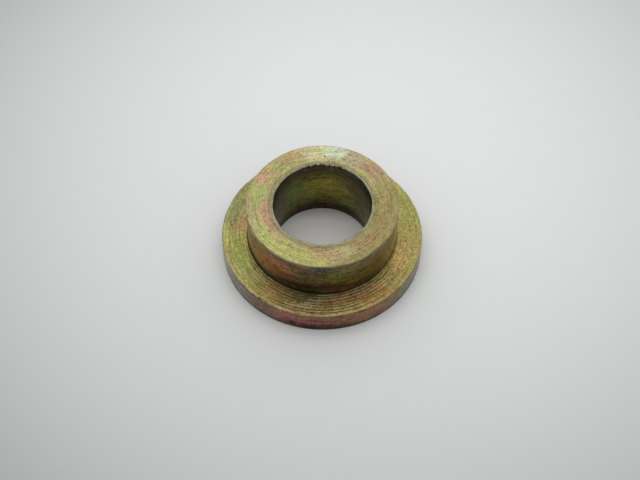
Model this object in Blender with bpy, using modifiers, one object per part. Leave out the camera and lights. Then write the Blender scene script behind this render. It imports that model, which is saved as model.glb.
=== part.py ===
"""Flanged bushing, turned from one steel bar and plated with yellow zinc.

Metres, +Z up. The origin is the centre of the flange's flat end face, on the bore's axis.
The boss stands up from the flange along +Z, and the bore runs right through both.
"""

import math

import bpy

# Diameters
BORE_DIAMETER = 0.0120
BOSS_DIAMETER = 0.0186
FLANGE_DIAMETER = 0.0250

# Lengths along the axis
FLANGE_THICKNESS = 0.0030
BOSS_HEIGHT = 0.0058

# Edges: the bore's mouths are chamfered, and every outer edge is broken to a small round
BORE_CHAMFER = 0.00005
BOSS_EDGE_RADIUS = 0.00014
FLANGE_EDGE_RADIUS = 0.00012

# Round that the tool's nose leaves in the corner between the boss and the flange
ROOT_FILLET = 0.00012

# Plating: dull gold with a green cast
PLATING_COLOUR = (0.47, 0.41, 0.17, 1.0)
PLATING_ROUGHNESS = 0.38
PLATING_METALLIC = 1.0

# Fineness of the turned surface
STEPS_ROUND_THE_AXIS = 128
STEPS_ROUND_AN_EDGE = 4
SHARP_ANGLE = math.radians(30)


def clear_scene():
    for existing in list(bpy.data.objects):
        bpy.data.objects.remove(existing, do_unlink=True)


def plating_material():
    material = bpy.data.materials.new("yellow_zinc_plating")
    material.use_nodes = True
    shader = material.node_tree.nodes["Principled BSDF"]
    shader.inputs["Base Color"].default_value = PLATING_COLOUR
    shader.inputs["Roughness"].default_value = PLATING_ROUGHNESS
    shader.inputs["Metallic"].default_value = PLATING_METALLIC
    return material


def arc(centre, radius, start_degrees, end_degrees):
    """Points of a round in the section, as (distance from the axis, height)."""
    points = []
    for step in range(STEPS_ROUND_AN_EDGE + 1):
        share = step / STEPS_ROUND_AN_EDGE
        angle = math.radians(start_degrees + (end_degrees - start_degrees) * share)
        points.append((
            centre[0] + radius * math.cos(angle),
            centre[1] + radius * math.sin(angle),
        ))
    return points


def section():
    """Closed outline of half the bushing, down the outer side and back up the bore."""
    bore = BORE_DIAMETER / 2
    boss = BOSS_DIAMETER / 2
    flange = FLANGE_DIAMETER / 2
    top = FLANGE_THICKNESS + BOSS_HEIGHT

    top_face_inner_edge = [(bore + BORE_CHAMFER, top)]
    boss_edge = arc(
        (boss - BOSS_EDGE_RADIUS, top - BOSS_EDGE_RADIUS), BOSS_EDGE_RADIUS, 90, 0
    )
    root = arc(
        (boss + ROOT_FILLET, FLANGE_THICKNESS + ROOT_FILLET), ROOT_FILLET, 180, 270
    )
    flange_upper_edge = arc(
        (flange - FLANGE_EDGE_RADIUS, FLANGE_THICKNESS - FLANGE_EDGE_RADIUS),
        FLANGE_EDGE_RADIUS, 90, 0,
    )
    flange_lower_edge = arc(
        (flange - FLANGE_EDGE_RADIUS, FLANGE_EDGE_RADIUS), FLANGE_EDGE_RADIUS, 0, -90
    )
    bore_wall = [
        (bore + BORE_CHAMFER, 0.0),
        (bore, BORE_CHAMFER),
        (bore, top - BORE_CHAMFER),
    ]
    return (
        top_face_inner_edge + boss_edge + root + flange_upper_edge
        + flange_lower_edge + bore_wall
    )


def turned_piece(name, outline, material, collection):
    """Turns a closed outline once round the Z axis, as a lathe would."""
    points = [(distance, 0.0, height) for distance, height in outline]
    edges = [(i, (i + 1) % len(points)) for i in range(len(points))]
    outline_mesh = bpy.data.meshes.new(name + "_outline")
    outline_mesh.from_pydata(points, edges, [])
    outline_object = bpy.data.objects.new(name + "_outline", outline_mesh)
    collection.objects.link(outline_object)

    turn = outline_object.modifiers.new("turn", "SCREW")
    turn.axis = "Z"
    turn.angle = math.tau
    turn.steps = STEPS_ROUND_THE_AXIS
    turn.render_steps = turn.steps
    turn.use_merge_vertices = False

    graph = bpy.context.evaluated_depsgraph_get()
    mesh = bpy.data.meshes.new_from_object(outline_object.evaluated_get(graph))
    mesh.name = name
    mesh.shade_smooth()
    mesh.set_sharp_from_angle(angle=SHARP_ANGLE)
    mesh.materials.append(material)
    bpy.data.objects.remove(outline_object, do_unlink=True)

    piece = bpy.data.objects.new(name, mesh)
    collection.objects.link(piece)
    return piece


def main():
    clear_scene()
    collection = bpy.data.collections.new("flanged_bushing")
    bpy.context.scene.collection.children.link(collection)
    turned_piece("bushing", section(), plating_material(), collection)


main()
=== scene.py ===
# %% [markdown]
# # A turned and plated flanged bushing
# The real piece is a short steel sleeve with a wide collar at one end, cut on a lathe from one bar and then
# plated with yellow zinc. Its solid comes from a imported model, which this file never moves or resizes.
# Everything here is about the look: the lathe's marks, the small knocks on its edges and the mixed colours
# of the plating. Lengths are in metres, and +Z runs from the flange to the boss.

import math

import bmesh
import bpy
import numpy as np
from mathutils import Matrix, Vector, noise


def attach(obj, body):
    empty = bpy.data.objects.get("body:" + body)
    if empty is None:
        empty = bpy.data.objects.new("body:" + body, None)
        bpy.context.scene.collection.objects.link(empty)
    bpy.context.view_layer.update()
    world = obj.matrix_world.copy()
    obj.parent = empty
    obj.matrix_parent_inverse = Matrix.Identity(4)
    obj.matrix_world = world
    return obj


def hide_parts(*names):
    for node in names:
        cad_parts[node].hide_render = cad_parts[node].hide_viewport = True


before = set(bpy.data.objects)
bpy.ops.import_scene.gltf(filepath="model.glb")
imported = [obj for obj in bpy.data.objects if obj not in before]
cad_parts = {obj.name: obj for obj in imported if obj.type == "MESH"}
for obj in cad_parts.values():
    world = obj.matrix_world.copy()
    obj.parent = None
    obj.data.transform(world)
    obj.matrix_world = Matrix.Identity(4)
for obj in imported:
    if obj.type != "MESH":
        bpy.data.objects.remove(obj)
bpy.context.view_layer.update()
bpy.ops.object.select_all(action="DESELECT")

# %% [markdown]
# ## Sizes
# A finer piece that stands in for a solid has to have that solid's sizes. They could be typed in again, but
# then a change to the solid would leave this file behind. So they are measured on the solid's own points:
# the nearest to the axis are the bore's, the furthest are the flange's, and so on.

# %% Measure the solid
MM = 0.001
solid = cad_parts["bushing"]
reaches = [math.hypot(point.co.x, point.co.y) for point in solid.data.vertices]
heights = [point.co.z for point in solid.data.vertices]

BORE_RADIUS = min(reaches)
FLANGE_RADIUS = max(reaches)
TOTAL_HEIGHT = max(heights)
NEAR_THE_RIM = 0.9 * FLANGE_RADIUS
FLANGE_THICKNESS = max(high for reach, high in zip(reaches, heights) if reach > NEAR_THE_RIM)
HALFWAY_UP_THE_BOSS = (FLANGE_THICKNESS + TOTAL_HEIGHT) / 2
BOSS_RADIUS = max(reach for reach, high in zip(reaches, heights) if high > HALFWAY_UP_THE_BOSS)
print("bore, boss and flange radius", BORE_RADIUS, BOSS_RADIUS, FLANGE_RADIUS)
print("flange thickness and whole height", FLANGE_THICKNESS, TOTAL_HEIGHT)

# %% [markdown]
# ## Camera
# A product photo is easiest to match when the camera is set first. This one looks down on the piece from
# the front, about 55 degrees above the table and 16 cm away, which makes the boss look a little bigger
# than it would from far off. A lens of 70 mm on a 36 mm sensor frames it as the photo does, and a small
# roll tilts the picture the way a hand-held camera would.

# %% Set the camera
CAMERA_DISTANCE = 0.1586
CAMERA_ELEVATION = math.radians(54.57)
CAMERA_ROLL = math.radians(0.44)
CAMERA_LENS = 70.24
SENSOR_WIDTH = 36.0
NEAREST_SEEN = 0.001
CAMERA_AIM = Vector((-0.00026, 0.00093, 0.0))


def add_camera():
    eye = Vector((0.0, -math.cos(CAMERA_ELEVATION), math.sin(CAMERA_ELEVATION))) * CAMERA_DISTANCE
    looks_along = (CAMERA_AIM - eye).to_track_quat("-Z", "Y").to_matrix()
    turned = looks_along @ Matrix.Rotation(CAMERA_ROLL, 3, "Z")
    bpy.ops.object.camera_add(location=eye, rotation=turned.to_euler())
    camera = bpy.context.object
    camera.name = "camera"
    camera.data.lens = CAMERA_LENS
    camera.data.sensor_width = SENSOR_WIDTH
    camera.data.clip_start = NEAREST_SEEN
    bpy.context.scene.camera = camera
    print("the camera stands at", camera.location[:])


add_camera()

# %% [markdown]
# ## The half section
# A lathe turns a bar against a tool, so every face of the piece is one outline swept round an axis. It
# could be built from cylinders and a Boolean cut, but their edges would need bevels afterwards and no
# face would have points for the lathe's marks. So the outline is drawn once, as a flat L in the XZ
# plane, and spun later. The L starts as a plane the size of the flange's section. It is cut at the
# boss's radius, and the part of its upper edge inside that radius is extruded up to make the boss.

# %% Helpers for choosing points by their place
TINY = 1e-6


def select_points(piece, wanted):
    """In edit mode, selects the points of a piece whose place passes the test, and what lies between them."""
    bpy.ops.mesh.select_mode(type="VERT")
    bpy.ops.mesh.select_all(action="DESELECT")
    shape = bmesh.from_edit_mesh(piece.data)
    for point in shape.verts:
        point.select = bool(wanted(point.co))
    shape.select_flush(True)
    bmesh.update_edit_mesh(piece.data)
    return sum(point.select for point in shape.verts)


def near(value, target):
    return abs(value - target) < TINY


# %% Draw the L
def add_half_section():
    width = FLANGE_RADIUS - BORE_RADIUS
    middle = ((FLANGE_RADIUS + BORE_RADIUS) / 2, 0.0, FLANGE_THICKNESS / 2)
    bpy.ops.mesh.primitive_plane_add(size=1.0, location=middle, rotation=(math.radians(90), 0.0, 0.0))
    piece = bpy.context.object
    piece.name = "plated_bushing"
    piece.scale = (width, FLANGE_THICKNESS, 1.0)
    bpy.ops.object.transform_apply(location=True, rotation=True, scale=True)

    bpy.ops.object.mode_set(mode="EDIT")
    bpy.ops.mesh.select_all(action="SELECT")
    bpy.ops.mesh.bisect(plane_co=(BOSS_RADIUS, 0.0, 0.0), plane_no=(1.0, 0.0, 0.0))
    select_points(piece, lambda p: near(p.z, FLANGE_THICKNESS) and p.x < BOSS_RADIUS + TINY)
    boss_height = (0.0, 0.0, TOTAL_HEIGHT - FLANGE_THICKNESS)
    bpy.ops.mesh.extrude_region_move(TRANSFORM_OT_translate={"value": boss_height})

    bpy.ops.mesh.select_all(action="SELECT")
    bpy.ops.mesh.dissolve_faces()
    select_points(piece, lambda p: near(p.x, BOSS_RADIUS) and near(p.z, 0.0))
    bpy.ops.mesh.dissolve_verts()
    select_points(piece, lambda p: near(p.x, BORE_RADIUS) and near(p.z, FLANGE_THICKNESS))
    bpy.ops.mesh.dissolve_verts()
    bpy.ops.object.mode_set(mode="OBJECT")
    return piece


bushing = add_half_section()
print("the L has", len(bushing.data.vertices), "corners and", len(bushing.data.polygons), "face")

# %% [markdown]
# ## Corners
# No machined edge is perfectly sharp. The outer edges were broken with a file or a small tool, the bore's
# mouths have only a hair of a chamfer, and the tool's round nose left a fillet at the foot of the boss.
# Bevelling the L's corners as points gives each of them in one step: one segment makes a chamfer, and four
# make a round.

# %% Bevel each corner of the L
BORE_CHAMFER = 0.05 * MM
BOSS_ROUND = 0.14 * MM
RIM_ROUND = 0.12 * MM
ROOT_FILLET = 0.12 * MM
ROUND_SEGMENTS = 4

# name, reach and height of the corner, size of its bevel and the segments it has
CORNERS = [
    ("bore's upper mouth", BORE_RADIUS, TOTAL_HEIGHT, BORE_CHAMFER, 1),
    ("bore's lower mouth", BORE_RADIUS, 0.0, BORE_CHAMFER, 1),
    ("boss's edge", BOSS_RADIUS, TOTAL_HEIGHT, BOSS_ROUND, ROUND_SEGMENTS),
    ("foot of the boss", BOSS_RADIUS, FLANGE_THICKNESS, ROOT_FILLET, ROUND_SEGMENTS),
    ("rim's upper edge", FLANGE_RADIUS, FLANGE_THICKNESS, RIM_ROUND, ROUND_SEGMENTS),
    ("rim's lower edge", FLANGE_RADIUS, 0.0, RIM_ROUND, ROUND_SEGMENTS),
]


def bevel_corners(piece):
    bpy.ops.object.mode_set(mode="EDIT")
    for name, reach, high, size, segments in CORNERS:
        found = select_points(piece, lambda p: near(p.x, reach) and near(p.z, high))
        bpy.ops.mesh.bevel(offset=size, segments=segments, affect="VERTICES", clamp_overlap=False)
        print(name, "is", found, "point, bevelled by", size / MM, "mm")
    bpy.ops.mesh.select_all(action="SELECT")
    bpy.ops.mesh.delete(type="ONLY_FACE")
    bpy.ops.object.mode_set(mode="OBJECT")


bevel_corners(bushing)
print("the outline has", len(bushing.data.vertices), "points")

# %% [markdown]
# ## Points for the lathe's marks
# The tool's marks are 0.4 mm apart, so the straight stretches need a point every tenth of a millimetre
# or so before they can carry them. Subdividing the edges of the flat outline is much lighter than
# subdividing the finished solid. The end face is hidden and the bore's marks are faint, so these two get
# fewer points.

# %% Subdivide the straight stretches
FACE_STEP = 0.080 * MM
WALL_STEP = 0.112 * MM
HIDDEN_STEP = 0.160 * MM


def subdivide_stretch(piece, on_it, length, step):
    bpy.ops.object.mode_set(mode="EDIT")
    select_points(piece, on_it)
    bpy.ops.mesh.subdivide(number_cuts=round(length / step) - 1)
    bpy.ops.object.mode_set(mode="OBJECT")


BOSS_HEIGHT = TOTAL_HEIGHT - FLANGE_THICKNESS
# a test for the points of a stretch, its length and the gap wanted between its points
STRETCHES = [
    (lambda p: near(p.z, TOTAL_HEIGHT), BOSS_RADIUS - BORE_RADIUS, FACE_STEP),
    (lambda p: near(p.x, BOSS_RADIUS) and p.z > FLANGE_THICKNESS, BOSS_HEIGHT, WALL_STEP),
    (lambda p: near(p.z, FLANGE_THICKNESS) and p.x > BOSS_RADIUS, FLANGE_RADIUS - BOSS_RADIUS, FACE_STEP),
    (lambda p: near(p.x, FLANGE_RADIUS), FLANGE_THICKNESS, WALL_STEP),
    (lambda p: near(p.z, 0.0), FLANGE_RADIUS - BORE_RADIUS, HIDDEN_STEP),
    (lambda p: near(p.x, BORE_RADIUS), TOTAL_HEIGHT, HIDDEN_STEP),
]
for on_it, length, step in STRETCHES:
    subdivide_stretch(bushing, on_it, length, step)
print("the outline now has", len(bushing.data.vertices), "points")

# %% [markdown]
# ## Spin
# Spin sweeps the outline once round the Z axis, as the lathe did. A Screw modifier would give the same shape,
# but the marks below are moved point by point, so real points are wanted straight away. The last copy of
# the outline falls on the first one, so doubles are merged, and the faces are turned to point outwards.

# %% Spin the outline
STEPS_ROUND = 345
SHARP_ANGLE = math.radians(34)


def spin_outline(piece):
    bpy.ops.object.mode_set(mode="EDIT")
    bpy.ops.mesh.select_all(action="SELECT")
    bpy.ops.mesh.spin(steps=STEPS_ROUND, angle=math.tau, center=(0.0, 0.0, 0.0), axis=(0.0, 0.0, 1.0))
    bpy.ops.mesh.select_all(action="SELECT")
    bpy.ops.mesh.remove_doubles(threshold=TINY)
    bpy.ops.mesh.normals_make_consistent(inside=False)
    bpy.ops.object.mode_set(mode="OBJECT")


spin_outline(bushing)
print("the spun piece has", len(bushing.data.polygons) * 2, "triangles")

# %% [markdown]
# ## The lathe's marks
# As the bar turns, the tool creeps along it and leaves one long shallow groove: a spiral on the flat
# faces and a screw on the round ones. Each turn comes out a little deeper or shallower than the last.
# Real grooves catch the light as the view changes, which a painted line can't, so they are cut into the
# points: each one moves in along its normal by a cosine of how far along the feed it lies. The feed is
# counted along the outline, out over a face and down a wall, so the groove runs on over the edges
# without a break. A bore is drilled and reamed, so its marks are much shallower.

# %% Cut the marks
FEED = 0.40 * MM
GROOVE_DEPTH = 0.0075 * MM
SHARE_IN_THE_BORE = 0.25
# each groove is a share of that depth, which swings about the usual one between the least and the most
USUAL_SHARE = 0.7
SHARE_SWING = 0.7
LEAST_SHARE = 0.1
MOST_SHARE = 1.4
NOISE_STEP_A_TURN = 0.8
GROOVE_SEED = 3.0


def read_points(piece):
    places = np.zeros(len(piece.data.vertices) * 3)
    normals = np.zeros(len(piece.data.vertices) * 3)
    piece.data.vertices.foreach_get("co", places)
    piece.data.vertices.foreach_get("normal", normals)
    return places.reshape(-1, 3), normals.reshape(-1, 3)


def write_points(piece, places):
    piece.data.vertices.foreach_set("co", places.ravel())
    piece.data.update()


def smooth_random(places, scale, seed):
    """Smooth random numbers from about -1 to 1 for places in space, the same each time."""
    shift = Vector((seed, 0.3, 0.7))
    return np.array([noise.noise(Vector(place) * scale + shift) * 2 for place in places])


def cut_marks(piece):
    places, normals = read_points(piece)
    reach = np.hypot(places[:, 0], places[:, 1])
    turn = np.arctan2(places[:, 1], places[:, 0]) / math.tau
    path = reach - places[:, 2]
    along = path / FEED + turn
    round_it = [np.sin(math.tau * turn), np.cos(math.tau * turn)]
    in_turns = np.stack([path / FEED * NOISE_STEP_A_TURN, *round_it], axis=1)
    swing = SHARE_SWING * smooth_random(in_turns, 1.0, GROOVE_SEED)
    share = np.clip(USUAL_SHARE + swing, LEAST_SHARE, MOST_SHARE)
    depth = np.where(reach < BORE_RADIUS + TINY, GROOVE_DEPTH * SHARE_IN_THE_BORE, GROOVE_DEPTH)
    inwards = depth * share * (1 + np.cos(math.tau * along)) / 2
    write_points(piece, places - normals * inwards[:, None])
    print("the deepest mark is", inwards.max() / MM, "mm")


cut_marks(bushing)

# %% [markdown]
# ## Knocks and a ragged edge
# Small turned pieces are tipped into boxes together, so their edges carry small flats and nicks, and the
# edges are a little ragged where the tool ran off them. By hand these would be pulled in with
# proportional editing. Here each knock is a soft dent: the points near its middle move in by its depth,
# and those further off by less.

# %% Dent the edges
# name, turn in degrees, reach and height of its middle, size and depth
KNOCKS = [
    ("boss, left", -156.0, BOSS_RADIUS, TOTAL_HEIGHT, 0.34 * MM, 0.12 * MM),
    ("boss, further left", -170.0, BOSS_RADIUS, TOTAL_HEIGHT, 0.28 * MM, 0.09 * MM),
    ("boss, front right", -58.0, BOSS_RADIUS, TOTAL_HEIGHT, 0.30 * MM, 0.05 * MM),
    ("boss, back", 74.0, BOSS_RADIUS, TOTAL_HEIGHT, 0.30 * MM, 0.06 * MM),
    ("boss end, right of the back", 86.0, 7.4 * MM, TOTAL_HEIGHT, 0.17 * MM, 0.07 * MM),
    ("boss end, back", 78.0, 8.5 * MM, TOTAL_HEIGHT, 0.15 * MM, 0.06 * MM),
    ("shoulder, left", 175.0, 11.7 * MM, FLANGE_THICKNESS, 0.18 * MM, 0.07 * MM),
    ("shoulder, right", -6.0, 10.9 * MM, FLANGE_THICKNESS, 0.20 * MM, 0.08 * MM),
    ("shoulder, front right", -24.0, 11.0 * MM, FLANGE_THICKNESS, 0.16 * MM, 0.06 * MM),
    ("flange, front left", -124.0, FLANGE_RADIUS, FLANGE_THICKNESS, 0.42 * MM, 0.13 * MM),
    ("flange, further left", -138.0, FLANGE_RADIUS, FLANGE_THICKNESS, 0.36 * MM, 0.10 * MM),
    ("flange, front", -101.0, FLANGE_RADIUS, FLANGE_THICKNESS, 0.34 * MM, 0.09 * MM),
    ("flange, right", -22.0, FLANGE_RADIUS, FLANGE_THICKNESS, 0.36 * MM, 0.07 * MM),
    ("flange, back", 112.0, FLANGE_RADIUS, FLANGE_THICKNESS, 0.40 * MM, 0.09 * MM),
    ("bore's mouth, left", 165.0, BORE_RADIUS, TOTAL_HEIGHT, 0.26 * MM, 0.06 * MM),
]
# name, reach and height of the edge, and how deep and how wide its raggedness is
RAGGED_EDGES = [
    ("flange", FLANGE_RADIUS, FLANGE_THICKNESS, 0.045 * MM, 0.20 * MM),
    ("boss", BOSS_RADIUS, TOTAL_HEIGHT, 0.025 * MM, 0.16 * MM),
    ("bore's mouth", BORE_RADIUS, TOTAL_HEIGHT, 0.040 * MM, 0.20 * MM),
]
RAGGED_SCALE = 1.6
RAGGED_SEED = 21.0


def point_at(degrees, reach, high):
    angle = math.radians(degrees)
    return np.array([reach * math.cos(angle), reach * math.sin(angle), high])


def dent_edges(piece):
    places, normals = read_points(piece)
    inwards = np.zeros(len(places))
    for name, degrees, reach, high, size, depth in KNOCKS:
        gap = np.linalg.norm(places - point_at(degrees, reach, high), axis=1)
        inwards += depth * np.exp(-((gap / size) ** 2))
    outwards = np.hypot(places[:, 0], places[:, 1])
    ragged = (1 + smooth_random(places / MM, RAGGED_SCALE, RAGGED_SEED)) / 2
    for name, reach, high, depth, size in RAGGED_EDGES:
        gap = np.hypot(outwards - reach, places[:, 2] - high)
        inwards += depth * ragged * np.exp(-((gap / size) ** 2))
    write_points(piece, places - normals * inwards[:, None])
    print("the deepest dent is", inwards.max() / MM, "mm")


dent_edges(bushing)
bpy.ops.object.select_all(action="DESELECT")
bushing.select_set(True)
bpy.context.view_layer.objects.active = bushing
bpy.ops.object.shade_smooth_by_angle(angle=SHARP_ANGLE)
bushing.select_set(False)
print("the finished mesh has", len(bushing.data.vertices), "points")

# %% [markdown]
# ## Helpers for the plating's nodes
# A material is a small graph of nodes, and a script that adds each one by hand gets long. These helpers each
# add one kind of node and hand back its output, so the recipe below reads like a sum.

# %% Short names for common nodes
def add_node(tree, kind, feeds=None, **settings):
    made = tree.nodes.new("ShaderNode" + kind)
    for name, value in settings.items():
        setattr(made, name, value)
    for socket, value in (feeds or {}).items():
        if isinstance(value, bpy.types.NodeSocket):
            tree.links.new(value, made.inputs[socket])
        else:
            made.inputs[socket].default_value = value
    return made


def maths(tree, operation, first, second=0.0):
    return add_node(tree, "Math", {0: first, 1: second}, operation=operation).outputs[0]


def vector_maths(tree, operation, first, second=(0.0, 0.0, 0.0)):
    return add_node(tree, "VectorMath", {0: first, 1: second}, operation=operation).outputs[0]


def measure(tree, operation, first, second=(0.0, 0.0, 0.0)):
    """A number from one or two vectors, such as a length, a distance or a dot product."""
    return add_node(tree, "VectorMath", {0: first, 1: second}, operation=operation).outputs["Value"]


def enlarge(tree, vector, by):
    return add_node(tree, "VectorMath", {0: vector, "Scale": by}, operation="SCALE").outputs[0]


def rise(tree, value, start, end):
    """0 before start and 1 past end, with a smooth rise between. It falls if start is above end."""
    feeds = {"Value": value, "From Min": start, "From Max": end}
    return add_node(tree, "MapRange", feeds, interpolation_type="SMOOTHSTEP").outputs[0]


def scale_to(tree, value, low, high):
    """Turns a value from 0 to 1 into one from low to high."""
    return add_node(tree, "MapRange", {"Value": value, "To Min": low, "To Max": high}).outputs[0]


NOISE_MIDDLE = 0.5


def blotches(tree, where, scale, detail):
    """Noise that wavers about its middle value."""
    return add_node(tree, "TexNoise", {"Vector": where, "Scale": scale, "Detail": detail}).outputs[0]


def mix_values(tree, share, under, over):
    return add_node(tree, "Mix", {0: share, 2: under, 3: over}, data_type="FLOAT").outputs[0]


def mix_colours(tree, share, under, over, blend_type="MIX"):
    feeds = {0: share, 6: under, 7: over}
    return add_node(tree, "Mix", feeds, data_type="RGBA", blend_type=blend_type).outputs[2]


# %% [markdown]
# ## Where a point lies on the piece
# The plating's pattern follows the turning, so its nodes need turned coordinates: the distance from the
# axis, the height, and a path that runs out along a face and down along a wall. Object coordinates give
# all three, in millimetres here, and they stay put when the camera moves. A noise that changes fast
# along the path and slowly round the axis gives streaks that circle the piece.

# %% Turned coordinates
def turned_places(tree):
    """Where a point lies, in millimetres, which way it faces, and how far up a groove's side it is."""
    place = enlarge(tree, add_node(tree, "TexCoord").outputs["Object"], 1 / MM)
    split = add_node(tree, "SeparateXYZ", {0: place})
    flat = add_node(tree, "CombineXYZ", {0: split.outputs[0], 1: split.outputs[1]}).outputs[0]
    reach = measure(tree, "LENGTH", flat)
    heading = vector_maths(tree, "NORMALIZE", flat)
    facing = add_node(tree, "SeparateXYZ", {0: heading})
    high = split.outputs[2]
    path = maths(tree, "SUBTRACT", reach, high)
    turn = maths(tree, "DIVIDE", maths(tree, "ARCTAN2", split.outputs[1], split.outputs[0]), math.tau)
    along = maths(tree, "ADD", maths(tree, "DIVIDE", path, FEED / MM), turn)
    ridge = maths(tree, "MULTIPLY", maths(tree, "PINGPONG", along, 0.5), 2.0)
    return {
        "place": place,
        "reach": reach,
        "high": high,
        "heading": heading,
        "to_right": facing.outputs[0],
        "to_back": facing.outputs[1],
        "path": path,
        "ridge": ridge,
    }


def streaks(tree, at, round_scale, path_scale, detail):
    """Noise drawn out round the axis. The scales say how fast it changes each way."""
    lift = add_node(tree, "CombineXYZ", {2: maths(tree, "MULTIPLY", at["path"], path_scale)}).outputs[0]
    where = vector_maths(tree, "ADD", enlarge(tree, at["heading"], round_scale), lift)
    return blotches(tree, where, 1.0, detail)


# %% [markdown]
# ## The plating's colours
# Yellow zinc plating is a very thin clear film over bright metal. Its colour is gold to olive, and where
# the film is a little thicker or thinner it turns green, pink or orange, as oil on water does. The end
# of the boss and the shoulder are the goldest, the rim is pinker and the other walls are browner. Each
# surface gets two colours of its own, which noise mixes, four numbers that say how strongly its lines,
# streaks, grain and clouds show, and a roughness. The walls shine more than the faces, so theirs is lower.

# %% Two colours of each surface, and how lively it is
SURFACE_COLOURS = {
    "shoulder": ((0.290, 0.275, 0.090, 1.0), (0.330, 0.230, 0.098, 1.0)),
    "boss side": ((0.182, 0.158, 0.070, 1.0), (0.236, 0.140, 0.086, 1.0)),
    "top": ((0.318, 0.315, 0.118, 1.0), (0.350, 0.262, 0.138, 1.0)),
    "rim": ((0.257, 0.106, 0.071, 1.0), (0.232, 0.142, 0.069, 1.0)),
    "bore": ((0.158, 0.138, 0.030, 1.0), (0.134, 0.105, 0.034, 1.0)),
    "end face": ((0.310, 0.300, 0.115, 1.0), (0.345, 0.260, 0.128, 1.0)),
}
LINE_STRENGTH = {"shoulder": 0.5, "boss side": 1.5, "top": 0.4, "rim": 0.9, "bore": 0.8, "end face": 0.5}
STREAK_STRENGTH = {"shoulder": 1.0, "boss side": 1.5, "top": 0.9, "rim": 1.5, "bore": 1.7, "end face": 1.0}
GRAIN_STRENGTH = {"shoulder": 1.8, "boss side": 1.8, "top": 1.4, "rim": 1.7, "bore": 2.1, "end face": 1.4}
CLOUD_STRENGTH = {"shoulder": 0.3, "boss side": 1.3, "top": 0.2, "rim": 1.3, "bore": 0.6, "end face": 0.3}
ROUGHNESS = {"shoulder": 0.36, "boss side": 0.20, "top": 0.36, "rim": 0.27, "bore": 0.30, "end face": 0.34}

# %% [markdown]
# ## Tints of the film, and some painted light and shade
# Where the piece hung in the bath, touched its neighbours or dried last, the film has patches of another
# colour. Some patches are painted light and shade instead: the black ones at the foot of the boss and low on
# the rim are painted shade, the dark ones just under the boss's front edge are a painted dark reflection, and
# the gold one in front of the boss is painted light. The pale and mint ones at the back of the end are partly
# the film's colour and partly a painted sheen.
# They are placed one by one on their own surface, like dabs of a brush. Each is a soft ball of colour
# round a point, stretched along the turning and broken up by streaks, so that no edge of it can be made out.

# %% Place the tints
# the solid's sizes in mm, as the nodes count them
BORE, BOSS, FLANGE = BORE_RADIUS / MM, BOSS_RADIUS / MM, FLANGE_RADIUS / MM
THICK, TOTAL = FLANGE_THICKNESS / MM, TOTAL_HEIGHT / MM

# name, turn in degrees, reach or height in mm, half its width and half its length in mm, colour and strength
TOP_TINTS = [
    ("yellow green, front", -110, 8.4, 0.9, 3.6, (0.335, 0.345, 0.107, 1.0), 0.8),
    ("green, front left", -140, 8.3, 0.9, 3.2, (0.355, 0.385, 0.122, 1.0), 0.7),
    ("yellow, left edge", -166, 8.7, 0.5, 2.4, (0.34, 0.305, 0.16, 1.0), 0.7),
    ("green, left", 164, 8.0, 0.8, 1.1, (0.26, 0.365, 0.095, 1.0), 0.8),
    ("pink, left of the back", 152, 8.3, 0.7, 0.9, (0.41, 0.24, 0.165, 1.0), 0.8),
    ("salmon, left of the bore", -164, 6.7, 0.5, 2.8, (0.335, 0.21, 0.137, 1.0), 0.9),
    ("orange, back", 113, 8.4, 0.7, 0.9, (0.38, 0.245, 0.118, 1.0), 0.9),
    # pale and mint at the back of the end: partly the film's colour, partly a painted sheen
    ("pale, back", 94, 8.2, 1.3, 2.0, (0.49, 0.465, 0.262, 1.0), 0.9),
    ("mint, back", 78, 8.5, 0.9, 1.1, (0.46, 0.55, 0.40, 1.0), 0.8),
    ("grey, right of the back", 60, 7.8, 0.9, 1.4, (0.345, 0.305, 0.205, 1.0), 0.8),
    ("orange, right", 39, 8.2, 1.1, 1.2, (0.32, 0.215, 0.130, 1.0), 0.9),
    ("tan, right", 2, 7.8, 1.5, 3.0, (0.248, 0.200, 0.080, 1.0), 0.8),
    ("olive, right", -25, 8.0, 1.5, 2.4, (0.225, 0.178, 0.077, 1.0), 0.8),
    ("orange, front right", -48, 7.5, 0.9, 1.4, (0.238, 0.168, 0.080, 1.0), 0.8),
    ("olive, outer edge", -60, 8.8, 0.6, 3.4, (0.205, 0.185, 0.074, 1.0), 0.8),
    ("pale, front right", -67, 7.4, 0.7, 0.8, (0.325, 0.28, 0.163, 1.0), 0.8),
    ("tan, front of the bore", -88, 7.0, 0.6, 2.0, (0.305, 0.225, 0.115, 1.0), 0.8),
]
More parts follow.
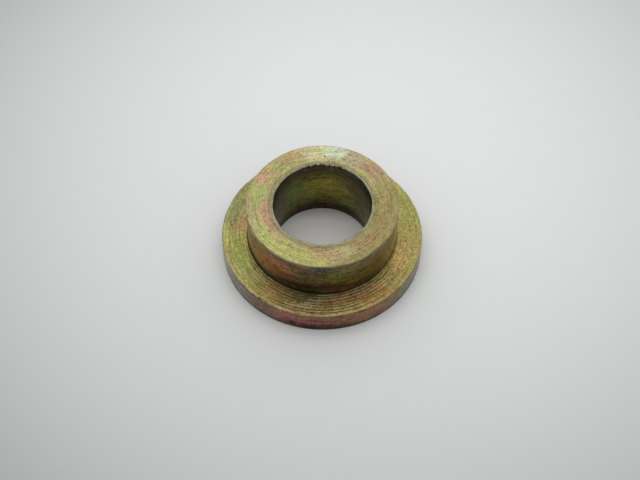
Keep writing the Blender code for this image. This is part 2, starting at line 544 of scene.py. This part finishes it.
BOSS_SIDE_TINTS = [
    ("mauve, far left", -154, 5.4, 2.4, 3.6, (0.41, 0.185, 0.235, 1.0), 0.95),
    ("orange, left", -132, 6.2, 1.4, 2.6, (0.60, 0.225, 0.165, 1.0), 0.95),
    ("pale, left edge", -146, 8.75, 0.3, 4.0, (0.38, 0.34, 0.21, 1.0), 0.8),
    ("brown, front", -91, 6.3, 0.9, 2.2, (0.105, 0.114, 0.058, 1.0), 0.8),
    ("red, front left", -108, 4.9, 0.9, 2.4, (0.165, 0.116, 0.130, 1.0), 0.8),
    # painted dark reflection under the boss's front edge
    ("blue grey, front edge", -88, 8.3, 0.40, 2.2, (0.050, 0.056, 0.070, 1.0), 0.9),
    ("dark brown, left of it", -101, 7.3, 0.45, 1.3, (0.078, 0.074, 0.060, 1.0), 0.8),
    # painted dark reflection under the boss's front edge, at the right
    ("dark olive, front right edge", -66, 8.3, 0.4, 2.6, (0.088, 0.090, 0.030, 1.0), 0.8),
    ("olive, front right", -68, 6.4, 1.2, 2.8, (0.158, 0.200, 0.066, 1.0), 0.9),
    ("olive, right", -38, 5.8, 1.8, 3.4, (0.152, 0.122, 0.046, 1.0), 0.8),
    ("pale, far right", -8, 6.2, 2.1, 1.9, (0.57, 0.44, 0.24, 1.0), 0.9),
    # painted shade: the next three darken the foot of the boss's front
    ("black, foot", -90, 3.7, 1.05, 9.0, (0.022, 0.018, 0.014, 1.0), 0.95),
    ("black, foot, left", -126, 3.7, 0.7, 2.4, (0.030, 0.024, 0.018, 1.0), 0.9),
    ("black, foot, right", -53, 3.8, 0.7, 2.4, (0.030, 0.024, 0.016, 1.0), 0.9),
    ("magenta, low", -70, 3.5, 0.4, 1.7, (0.24, 0.070, 0.110, 1.0), 0.70),
]
SHOULDER_TINTS = [
    ("orange, left", 170, 10.6, 1.0, 1.6, (0.29, 0.195, 0.09, 1.0), 0.9),
    ("green, left", -164, 10.7, 1.2, 2.2, (0.235, 0.275, 0.070, 1.0), 0.9),
    ("green, far left edge", 178, 11.9, 0.6, 1.4, (0.23, 0.285, 0.09, 1.0), 0.8),
    ("olive, upper left", 158, 11.8, 1.2, 3.6, (0.172, 0.192, 0.079, 1.0), 0.85),
    ("green, front left", -141, 10.5, 1.3, 2.4, (0.25, 0.30, 0.09, 1.0), 0.8),
    ("brown, front left", -121, 9.9, 0.8, 1.6, (0.385, 0.265, 0.122, 1.0), 0.8),
    ("pale green, front left of the boss", -136, 9.7, 0.4, 1.7, (0.37, 0.35, 0.15, 1.0), 0.7),
    # painted light: lifts the front of the shoulder next to the boss against the shade and dark reflection of
    # the boss's wall
    ("gold, front of the boss", -72, 9.55, 0.55, 6.2, (0.70, 0.59, 0.34, 1.0), 0.95),
    ("orange, front", -76, 10.6, 0.9, 2.7, (0.59, 0.350, 0.140, 1.0), 0.8),
    ("orange, front right", -58, 10.8, 1.1, 3.0, (0.350, 0.200, 0.072, 1.0), 0.8),
    ("orange, right", -17, 10.0, 1.0, 2.8, (0.385, 0.265, 0.098, 1.0), 0.9),
    ("tan, right", 0, 10.7, 1.4, 3.0, (0.270, 0.222, 0.075, 1.0), 0.8),
    ("green, back right", 18, 11.8, 1.4, 3.4, (0.235, 0.240, 0.073, 1.0), 0.8),
    ("brown, front left edge", -110, 12.1, 0.5, 4.6, (0.210, 0.180, 0.062, 1.0), 0.7),
    ("pale, front", -76, 11.4, 0.4, 2.2, (0.40, 0.35, 0.16, 1.0), 0.6),
    ("brown, right front edge", -36, 11.7, 0.8, 1.8, (0.230, 0.185, 0.060, 1.0), 0.7),
]
RIM_TINTS = [
    ("grey, far left", -164, 1.7, 1.4, 2.0, (0.255, 0.27, 0.160, 1.0), 0.9),
    ("purple grey, left", -145, 1.6, 1.4, 2.4, (0.245, 0.212, 0.153, 1.0), 0.9),
    ("brown, front left", -125, 1.5, 1.2, 1.8, (0.195, 0.116, 0.088, 1.0), 0.8),
    ("magenta, front left", -105, 1.5, 1.0, 2.4, (0.335, 0.112, 0.113, 1.0), 0.9),
    ("red brown, front", -88, 1.4, 0.9, 1.8, (0.240, 0.086, 0.072, 1.0), 0.9),
    ("orange pink, right", -60, 1.7, 1.1, 2.0, (0.312, 0.132, 0.075, 1.0), 0.9),
    ("teal, right", -34, 0.7, 0.8, 1.8, (0.155, 0.205, 0.090, 1.0), 0.8),
    ("olive, far right", -25, 2.0, 1.4, 3.2, (0.160, 0.192, 0.046, 1.0), 0.9),
    ("olive, upper front", -100, 2.9, 0.25, 6.0, (0.20, 0.145, 0.068, 1.0), 0.7),
    # painted shade low on the front of the rim, next to the sheet
    ("black, low front", -90, 0.25, 0.68, 10.5, (0.040, 0.009, 0.006, 1.0), 0.95),
    ("brown, right", -48, 2.1, 0.8, 1.7, (0.215, 0.138, 0.048, 1.0), 0.8),
]
BORE_TINTS = [
    ("olive, far wall", 86, 4.6, 1.6, 3.0, (0.260, 0.240, 0.042, 1.0), 0.9),
    ("green, left of it", 132, 4.4, 1.8, 1.7, (0.172, 0.220, 0.058, 1.0), 0.9),
    ("brown, left", 154, 4.4, 1.8, 1.4, (0.150, 0.105, 0.048, 1.0), 0.8),
    ("green, low right", 52, 2.2, 0.9, 1.5, (0.155, 0.190, 0.035, 1.0), 0.8),
]
TINTS = {
    "top": TOP_TINTS,
    "boss side": BOSS_SIDE_TINTS,
    "shoulder": SHOULDER_TINTS,
    "rim": RIM_TINTS,
    "bore": BORE_TINTS,
    "end face": [],
}


def tint_middle(surface, degrees, place):
    """A tint's middle. Its place is a reach on a face, and a height on a wall."""
    reach_and_height = {
        "top": (place, TOTAL),
        "boss side": (BOSS, place),
        "shoulder": (place, THICK),
        "rim": (FLANGE, place),
        "bore": (BORE, place),
    }
    return point_at(degrees, *reach_and_height[surface])


# %% [markdown]
# ## The plating as one material
# The surfaces run into each other over rounded edges, so one material that fades between them looks
# truer than a separate one on each face. How far a point lies from the axis and how high it is tell
# which surface it is on. The surfaces are laid over one another as coats of paint are, and each fades in
# over a tenth of a millimetre or so.

# %% Which surface a point is on
# reach or height in mm at which a surface starts to show, and at which it hides what is under it
BOSS_SIDE_WITHIN = (BOSS + 0.20, BOSS + 0.05)
BOSS_SIDE_BEYOND = (BOSS - 0.60, BOSS - 0.40)
BOSS_SIDE_ABOVE = (THICK + 0.02, THICK + 0.15)
TOP_ABOVE = (TOTAL - 0.15, TOTAL - 0.06)
RIM_BEYOND = (FLANGE - 0.12, FLANGE - 0.03)
BORE_WITHIN = (BORE + 0.08, BORE + 0.02)
END_FACE_BELOW = (0.05, 0.01)


def which_surface(tree, at):
    """How much of a point belongs to each surface. Later ones cover earlier ones."""
    within = rise(tree, at["reach"], *BOSS_SIDE_WITHIN)
    beyond = rise(tree, at["reach"], *BOSS_SIDE_BEYOND)
    above = rise(tree, at["high"], *BOSS_SIDE_ABOVE)
    return {
        "boss side": maths(tree, "MULTIPLY", maths(tree, "MULTIPLY", within, beyond), above),
        "top": rise(tree, at["high"], *TOP_ABOVE),
        "rim": rise(tree, at["reach"], *RIM_BEYOND),
        "bore": rise(tree, at["reach"], *BORE_WITHIN),
        "end face": rise(tree, at["high"], *END_FACE_BELOW),
    }


def lay_over(tree, there, values, mix):
    """Lays each surface's value over the shoulder's, where that surface is."""
    result = values["shoulder"]
    for surface, share in there.items():
        result = mix(tree, share, result, values[surface])
    return result


# %% [markdown]
# ## Colour of each surface
# Each surface starts from its two colours, mixed by a soft noise, and its tints are laid over them one by
# one. A tint by itself would be a perfect ball with a clear outline. So the places it is measured from
# are stirred by one noise, and a streaky noise is added to how strong it is.

# %% Mix the colours and tints of each surface
# a fade is the pair of values at which something starts to show, and at which it shows fully
MOTTLE_SCALE = 0.75
MOTTLE_DETAIL = 5.0
MOTTLE_FADE = (0.38, 0.62)
STIR_SCALE = 0.8
STIR_DETAIL = 4.0
STIR_BY = 2.2
TINT_SPREAD = 1.75
TINT_FADE = (-0.02, 0.70)
# how fast streaks change round the axis and along the path, and their detail
TINT_STREAKS = (2.4, 2.2, 3.0)
TINT_RAGGED_BY = 0.35


def stirred_places(tree, at):
    """Places shifted about by noise, so that a ball of colour has a wandering outline."""
    feeds = {"Vector": at["place"], "Scale": STIR_SCALE, "Detail": STIR_DETAIL}
    stir = add_node(tree, "TexNoise", feeds).outputs[1]
    either_way = vector_maths(tree, "SUBTRACT", stir, [NOISE_MIDDLE] * 3)
    return vector_maths(tree, "ADD", at["place"], enlarge(tree, either_way, STIR_BY))


def tint_share(tree, stirred, ragged, middle, degrees, across, along):
    feeds = {
        "Vector": stirred,
        "Location": middle,
        "Rotation": (0.0, 0.0, math.radians(degrees)),
        "Scale": (across * TINT_SPREAD, along * TINT_SPREAD, across * TINT_SPREAD),
    }
    seen_from_it = add_node(tree, "Mapping", feeds, vector_type="TEXTURE").outputs[0]
    ball = add_node(tree, "TexGradient", {"Vector": seen_from_it}, gradient_type="SPHERICAL").outputs[1]
    return rise(tree, maths(tree, "ADD", ball, ragged), *TINT_FADE)


def surface_colours(tree, at):
    mottle = rise(tree, blotches(tree, at["place"], MOTTLE_SCALE, MOTTLE_DETAIL), *MOTTLE_FADE)
    stirred = stirred_places(tree, at)
    ragged = scale_to(tree, streaks(tree, at, *TINT_STREAKS), -TINT_RAGGED_BY, TINT_RAGGED_BY)
    colours = {}
    for surface, pair in SURFACE_COLOURS.items():
        colour = mix_colours(tree, mottle, *pair)
        for name, degrees, place, across, along, tint, strength in TINTS[surface]:
            middle = tint_middle(surface, degrees, place)
            share = tint_share(tree, stirred, ragged, middle, degrees, across, along)
            colour = mix_colours(tree, scale_to(tree, share, 0.0, strength), colour, tint)
        colours[surface] = colour
    return colours


# %% [markdown]
# ## Dark rings
# Painted shade: bands of brown are painted at both ends of the bore, round the foot of the boss and low on
# the rim, standing in for the shadow and the dark reflections these walls have there. They fade in there, and
# they wander up and down on their way round so that they don't look ruled. The corner at the boss's foot is
# painted nearly black as shade, though less so at the right.

# %% Darken the ends of the walls and the corner
# painted shade: the brown of the bands that darken the ends of the walls
PAINTED_SHADE_BROWN = (0.055, 0.042, 0.022, 1.0)
# surface it lies on, height where it starts to show and where it is full, and strength
DARK_BANDS = [
    ("bore", TOTAL - 2.2, TOTAL - 0.6, 0.62),
    ("bore", TOTAL - 1.00, TOTAL - 0.45, 0.90),
    ("bore", 2.2, 0.9, 0.92),
    ("boss side", THICK + 1.8, THICK + 0.3, 0.60),
    ("rim", 0.70, 0.15, 0.75),
]
# how far the bands wander up and down, in mm
RING_STREAKS = (4.0, 0.5, 3.0)
RING_WANDERS_BY = 0.7
# painted shade: the near-black of the corner at the boss's foot
CORNER_BLACK = (0.020, 0.016, 0.010, 1.0)
CORNER_HEIGHT = 0.10
CORNER_FADE = (0.25, 0.10)
CORNER_LEAST = 0.45
CORNER_MOST = 0.95
AWAY_FROM_THE_RIGHT = (0.75, 0.15)


def gap_to(tree, at, reach, high):
    """Distance to a ring round the axis, in millimetres."""
    out = maths(tree, "SUBTRACT", at["reach"], reach)
    up = maths(tree, "SUBTRACT", at["high"], high)
    return measure(tree, "LENGTH", add_node(tree, "CombineXYZ", {0: out, 1: up}).outputs[0])


def dark_bands(tree, at, there, wander, colour):
    high = maths(tree, "ADD", at["high"], wander)
    for surface, start, full, strength in DARK_BANDS:
        band = maths(tree, "MULTIPLY", rise(tree, high, start, full), there[surface])
        colour = mix_colours(tree, scale_to(tree, band, 0.0, strength), colour, PAINTED_SHADE_BROWN)
    return colour


def dark_corner(tree, at, colour):
    corner = rise(tree, gap_to(tree, at, BOSS, THICK + CORNER_HEIGHT), *CORNER_FADE)
    away = rise(tree, at["to_right"], *AWAY_FROM_THE_RIGHT)
    corner_shade_strength = scale_to(tree, away, CORNER_LEAST, CORNER_MOST)
    return mix_colours(tree, maths(tree, "MULTIPLY", corner, corner_shade_strength), colour, CORNER_BLACK)


# %% [markdown]
# ## The bore's mouth
# A dull grey ring runs round the mouth on the boss's end, partly the film's duller colour and partly painted
# shade where the edge rolls off towards the bore. Towards the back of the mouth its edge is painted black as
# a shadow, and right at the back the black has small notches. They come from a noise that changes fast
# round the axis and pushes the edge of the black outwards here and there.

# %% Draw the mouth
# a darker grey ring round the mouth: partly the film's colour, partly painted shade
MOUTH_GREY = (0.142, 0.130, 0.086, 1.0)
GREY_FADE = (0.95, 0.42)
GREY_WANDER = 0.4
GREY_STRENGTH = 0.6
# painted shadow: the black at the back of the mouth
MOUTH_BLACK = (0.012, 0.010, 0.006, 1.0)
BLACK_FADE = (0.10, -0.04)
BLACK_STRENGTH = 0.85
BLACK_BEHIND = (0.30, 0.60)
NOTCHED_BEHIND = (0.84, 0.96)
NOTCH_STREAKS = (24.0, 0.6, 2.0)
NOTCH_FADE = (0.36, 0.58)
NOTCH_LEAST = 0.05
NOTCH_MOST = 0.28


def grey_ring(tree, to_the_mouth, wander, colour):
    gap = maths(tree, "ADD", to_the_mouth, maths(tree, "MULTIPLY", wander, GREY_WANDER))
    around_it = rise(tree, gap, *GREY_FADE)
    return mix_colours(tree, scale_to(tree, around_it, 0.0, GREY_STRENGTH), colour, MOUTH_GREY)


def black_notches(tree, at, to_the_mouth, colour):
    behind = rise(tree, at["to_back"], *BLACK_BEHIND)
    far_behind = rise(tree, at["to_back"], *NOTCHED_BEHIND)
    notches = maths(tree, "MULTIPLY", rise(tree, streaks(tree, at, *NOTCH_STREAKS), *NOTCH_FADE), far_behind)
    gap = maths(tree, "SUBTRACT", to_the_mouth, scale_to(tree, notches, NOTCH_LEAST, NOTCH_MOST))
    black = maths(tree, "MULTIPLY", rise(tree, gap, *BLACK_FADE), behind)
    return mix_colours(tree, scale_to(tree, black, 0.0, BLACK_STRENGTH), colour, MOUTH_BLACK)


def dark_rings(tree, at, there, colour):
    """The bands, the corner and the mouth, which share one wandering noise."""
    wander = scale_to(tree, streaks(tree, at, *RING_STREAKS), -RING_WANDERS_BY, RING_WANDERS_BY)
    to_the_mouth = gap_to(tree, at, BORE, TOTAL)
    colour = dark_bands(tree, at, there, wander, colour)
    colour = dark_corner(tree, at, colour)
    colour = grey_ring(tree, to_the_mouth, wander, colour)
    return black_notches(tree, at, to_the_mouth, colour)


# %% [markdown]
# ## Streaks and grain
# The colours would still look sprayed on. Broad brown streaks are mixed in first. Then four noises make
# the colour lighter and darker: long lines and shorter streaks along the turning, and grain and clouds
# that have no direction. Each surface has its own strength of each. The crests of the grooves are also
# painted a little lighter than their bottoms, as painted light and shade that follows the grooves.

# %% Add the streaks and the grain
STREAK_BROWN = (0.250, 0.140, 0.060, 1.0)
BROAD_STREAKS = (2.2, 1.7, 3.0)
BROWN_FADE = (0.52, 0.72)
BROWN_STRENGTH = 0.35
LONG_LINES = (1.4, 3.4, 4.0)
FINE_STREAKS = (4.6, 4.4, 3.0)
# scale and detail of a noise that has no direction
GRAIN = (3.8, 3.0)
CLOUDS = (1.3, 2.0)
HALFWAY_UP_A_RIDGE = 0.5
# painted light on the crests of the grooves and painted shade in their bottoms
CREST_LIGHT = 0.3
DARKEST = 0.15


def crest_light(tree, at, broad):
    """From a little below 0 in a groove to a little above it on a crest, more so in broad streaks."""
    crest = maths(tree, "SUBTRACT", at["ridge"], HALFWAY_UP_A_RIDGE)
    return maths(tree, "MULTIPLY", crest, scale_to(tree, broad, 0.0, CREST_LIGHT))


def streaks_and_grain(tree, at, there, colour):
    broad = streaks(tree, at, *BROAD_STREAKS)
    lines = streaks(tree, at, *LONG_LINES)
    fine = streaks(tree, at, *FINE_STREAKS)
    grain = blotches(tree, at["place"], *GRAIN)
    clouds = blotches(tree, at["place"], *CLOUDS)
    brown = scale_to(tree, rise(tree, broad, *BROWN_FADE), 0.0, BROWN_STRENGTH)
    colour = mix_colours(tree, brown, colour, STREAK_BROWN)
    light = maths(tree, "ADD", crest_light(tree, at, broad), 1.0)
    layers = [
        (lines, LINE_STRENGTH),
        (fine, STREAK_STRENGTH),
        (grain, GRAIN_STRENGTH),
        (clouds, CLOUD_STRENGTH),
    ]
    for pattern, strengths in layers:
        strength = lay_over(tree, there, strengths, mix_values)
        either_way = maths(tree, "SUBTRACT", pattern, NOISE_MIDDLE)
        light = maths(tree, "ADD", light, maths(tree, "MULTIPLY", either_way, strength))
    light = maths(tree, "MAXIMUM", light, DARKEST)
    shade = add_node(tree, "CombineXYZ", {0: light, 1: light, 2: light}).outputs[0]
    return mix_colours(tree, 1.0, colour, shade, "MULTIPLY"), fine, grain


# %% [markdown]
# ## Worn edges with painted highlights, and pits
# Edges rub first and their small rounds catch the light, so a paler line with gaps in it runs along them:
# partly wear and partly a painted highlight, which on the bore's mouth is painted only in front. It is laid
# over the rest as one more coat.
# Last come the pits, which are small dark dots. Some are listed one by one, and a sprinkling of smaller ones
# comes from the peaks of a noise.

# %% Wear the edges and paint their highlights
# pale line along the edges: partly wear, partly a painted highlight
PALE_WEAR_AND_HIGHLIGHT = (0.420, 0.390, 0.265, 1.0)
# reach and height of an edge, half the width of its pale line, and how strong that line is in front and
# behind
WEAR_AND_HIGHLIGHT_EDGES = [
    # on the bore's mouth the pale line is only in front: a painted highlight
    (BORE + 0.14, TOTAL, 0.16, 0.35, 0.0),
    (BOSS, TOTAL - 0.12, 0.26, 0.45, 0.45),
    (FLANGE - 0.10, THICK, 0.26, 0.20, 0.20),
    (BORE, 0.0, 0.26, 0.20, 0.20),
]
WEAR_AND_HIGHLIGHT_STREAKS = (6.0, 0.5, 3.0)
WEAR_AND_HIGHLIGHT_FADE = (0.38, 0.60)
PALE_LINE_BEHIND = (0.60, 0.85)
FULL_SHARE_OF_THE_LINE = 0.4


def pale_worn_and_highlit_edges(tree, at, colour):
    """A paler line along each edge, broken up along it."""
    patchy = rise(tree, streaks(tree, at, *WEAR_AND_HIGHLIGHT_STREAKS), *WEAR_AND_HIGHLIGHT_FADE)
    behind = rise(tree, at["to_back"], *PALE_LINE_BEHIND)
    for reach, high, width, pale_in_front, pale_at_the_back in WEAR_AND_HIGHLIGHT_EDGES:
        line = rise(tree, gap_to(tree, at, reach, high), width, width * FULL_SHARE_OF_THE_LINE)
        on_it = maths(tree, "MULTIPLY", line, patchy)
        paleness = scale_to(tree, behind, pale_in_front, pale_at_the_back)
        colour = mix_colours(tree, maths(tree, "MULTIPLY", on_it, paleness), colour, PALE_WEAR_AND_HIGHLIGHT)
    return colour


# %% Add the pits
PIT_BROWN = (0.060, 0.045, 0.028, 1.0)
# turn in degrees, reach and height, and size
PITS = [
    (88, 7.45, TOTAL, 0.16),
    (79, 8.40, TOTAL, 0.12),
    (66, 8.50, TOTAL, 0.12),
    (-129, 7.40, TOTAL, 0.12),
    (-147, 7.50, TOTAL, 0.14),
    (175, 11.40, THICK, 0.15),
    (-7, 10.50, THICK, 0.16),
    (-14, 10.80, THICK, 0.12),
    (-30, 10.85, THICK, 0.14),
    (-123, FLANGE, THICK - 0.15, 0.20),
    (-127, FLANGE, THICK - 0.10, 0.26),
    (-131, FLANGE, THICK - 0.15, 0.18),
    (-158, BOSS, TOTAL - 0.05, 0.16),
    (-169, BOSS, TOTAL - 0.05, 0.16),
]
# a pit starts to show and is fully dark at these shares of its size
PIT_STARTS = 1.3
PIT_FULL = 0.5
PIT_STRENGTH = 0.75
SPRINKLING = (2.4, 1.0)
SPRINKLING_FADE = (0.735, 0.80)


def dark_pits(tree, at, colour):
    """The placed pits, and the sprinkling of smaller ones."""
    depth = rise(tree, blotches(tree, at["place"], *SPRINKLING), *SPRINKLING_FADE)
    for degrees, reach, high, size in PITS:
        gap = measure(tree, "DISTANCE", at["place"], point_at(degrees, reach, high))
        depth = maths(tree, "MAXIMUM", depth, rise(tree, gap, size * PIT_STARTS, size * PIT_FULL))
    return mix_colours(tree, scale_to(tree, depth, 0.0, PIT_STRENGTH), colour, PIT_BROWN)


# %% [markdown]
# ## The finished plating
# The colour goes into the shader as the Base Color of a full metal. The grain and the fine streaks also
# move its roughness, so the plating is a little duller where it is paler. A bump adds scratches that are
# much finer than the grooves, and rounds the grooves' own sides a little more.

# %% Put the plating together
DULLED_BY_GRAIN = 0.09
DULLED_BY_STREAKS = 0.05
SCRATCHES = (2.5, 9.0, 3.0)
GRAIN_RELIEF = 0.8
GROOVE_RELIEF = 0.18
RELIEF_DEPTH = 0.025 * MM


def yellow_zinc_plating():
    material = bpy.data.materials.new("yellow_zinc_plating")
    material.use_nodes = True
    tree = material.node_tree
    shader = tree.nodes["Principled BSDF"]
    at = turned_places(tree)
    there = which_surface(tree, at)

    colour = lay_over(tree, there, surface_colours(tree, at), mix_colours)
    colour = dark_rings(tree, at, there, colour)
    colour, fine, grain = streaks_and_grain(tree, at, there, colour)
    colour = dark_pits(tree, at, pale_worn_and_highlit_edges(tree, at, colour))
    tree.links.new(colour, shader.inputs["Base Color"])

    shader.inputs["Metallic"].default_value = 1.0
    from_grain = scale_to(tree, grain, -DULLED_BY_GRAIN, DULLED_BY_GRAIN)
    from_streaks = scale_to(tree, fine, -DULLED_BY_STREAKS, DULLED_BY_STREAKS)
    uneven = maths(tree, "ADD", from_grain, from_streaks)
    dull = maths(tree, "ADD", lay_over(tree, there, ROUGHNESS, mix_values), uneven)
    tree.links.new(dull, shader.inputs["Roughness"])

    relief = maths(tree, "ADD", streaks(tree, at, *SCRATCHES), maths(tree, "MULTIPLY", grain, GRAIN_RELIEF))
    relief = maths(tree, "ADD", relief, maths(tree, "MULTIPLY", at["ridge"], GROOVE_RELIEF))
    bump = add_node(tree, "Bump", {"Height": relief, "Distance": RELIEF_DEPTH, "Strength": 1.0})
    tree.links.new(bump.outputs[0], shader.inputs["Normal"])
    print("the plating has", len(tree.nodes), "nodes")
    return material


bushing.data.materials.append(yellow_zinc_plating())

# %% [markdown]
# ## Floor
# The piece stands on a sheet of white paper. A large plane is enough, as long as it fills the picture
# behind and round the piece. Its colour falls off gently away from the piece, as the light on a real
# tabletop does, and it is rough so that it mirrors nothing. The bit that shows through the bore gets
# little light, so it is painted whiter, apart from its far edge, which stays dim.

# %% Lay the sheet
SHEET_SIZE = 4.0
SHEET_NEAR = (0.822, 0.838, 0.836, 1.0)
SHEET_FAR = (0.432, 0.446, 0.442, 1.0)
BRIGHT_SPOT = Vector((0.006, 0.018, 0.0))
FADE_REACH = 0.065
BORE_FLOOR_LIT = (1.0, 1.0, 1.0, 1.0)
BORE_FLOOR_DIM = (0.60, 0.60, 0.60, 1.0)
LIT_SPOT = Vector((0.0, -0.0055, 0.0))
LIT_REACH = 0.0095
LIT_END = 0.0118
SHEET_ROUGHNESS = 0.9
SHEET_SHINE = 0.2


def white_sheet():
    material = bpy.data.materials.new("white_sheet")
    material.use_nodes = True
    tree = material.node_tree
    shader = tree.nodes["Principled BSDF"]
    point = add_node(tree, "TexCoord").outputs["Object"]
    away = maths(tree, "DIVIDE", measure(tree, "DISTANCE", point, BRIGHT_SPOT), FADE_REACH)
    fade = maths(tree, "POWER", away, 2.0)
    paper = mix_colours(tree, maths(tree, "MINIMUM", fade, 1.0), SHEET_NEAR, SHEET_FAR)
    lit = rise(tree, measure(tree, "DISTANCE", point, LIT_SPOT), LIT_END, LIT_REACH)
    bore_floor = mix_colours(tree, lit, BORE_FLOOR_DIM, BORE_FLOOR_LIT)
    reach = measure(tree, "LENGTH", point)
    in_the_bore = rise(tree, reach, FLANGE_RADIUS, BORE_RADIUS)
    tree.links.new(mix_colours(tree, in_the_bore, paper, bore_floor), shader.inputs["Base Color"])
    shader.inputs["Roughness"].default_value = SHEET_ROUGHNESS
    shader.inputs["Specular IOR Level"].default_value = SHEET_SHINE
    return material


bpy.ops.mesh.primitive_plane_add(size=SHEET_SIZE, location=(0.0, 0.0, 0.0))
sheet = bpy.context.object
sheet.name = "sheet"
sheet.data.materials.append(white_sheet())
bpy.ops.object.select_all(action="DESELECT")

# %% [markdown]
# ## Light
# Metal shows what is round it more than it shows lamps. The photo's light is a broad one from above and
# behind, with the darker side of the room in front, so the boss's end is bright and its front wall is
# dark. A world that is brightest towards one point of the sky and dims away from it does that with no
# hard shadow, and stays near the level at which a colour looks as it was written. Low down, the room is
# paler at the left and right than in front and behind, which gives the round walls a soft shine along
# their sides.

# %% Light the room
SKY_BRIGHT = (1.37, 1.37, 1.37, 1.0)
SKY_DIM = (0.62, 0.62, 0.62, 1.0)
LOW_AHEAD = (0.74, 0.74, 0.74, 1.0)
LOW_BESIDE = (1.12, 1.12, 1.12, 1.0)
LIGHT_FROM = Vector((0.0, 0.56, 0.83))
SKY_FADE = (0.40, 1.0)
BESIDE_FADE = (0.25, 0.95)
LOW_FADE = (0.35, 0.05)


def room_light():
    world = bpy.data.worlds.new("room")
    world.use_nodes = True
    tree = world.node_tree
    heading = add_node(tree, "TexCoord").outputs["Generated"]
    facing = measure(tree, "DOT_PRODUCT", heading, LIGHT_FROM)
    sky = mix_colours(tree, rise(tree, facing, *SKY_FADE), SKY_DIM, SKY_BRIGHT)
    split = add_node(tree, "SeparateXYZ", {0: heading})
    beside = rise(tree, maths(tree, "ABSOLUTE", split.outputs[0]), *BESIDE_FADE)
    low_sky = mix_colours(tree, beside, LOW_AHEAD, LOW_BESIDE)
    low = rise(tree, split.outputs[2], *LOW_FADE)
    tree.links.new(mix_colours(tree, low, sky, low_sky), tree.nodes["Background"].inputs["Color"])
    bpy.context.scene.world = world


room_light()
bpy.context.scene.view_settings.view_transform = "Standard"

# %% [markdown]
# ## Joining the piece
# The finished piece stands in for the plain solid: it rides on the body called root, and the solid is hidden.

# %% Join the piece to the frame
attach(bushing, "root")
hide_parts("bushing")
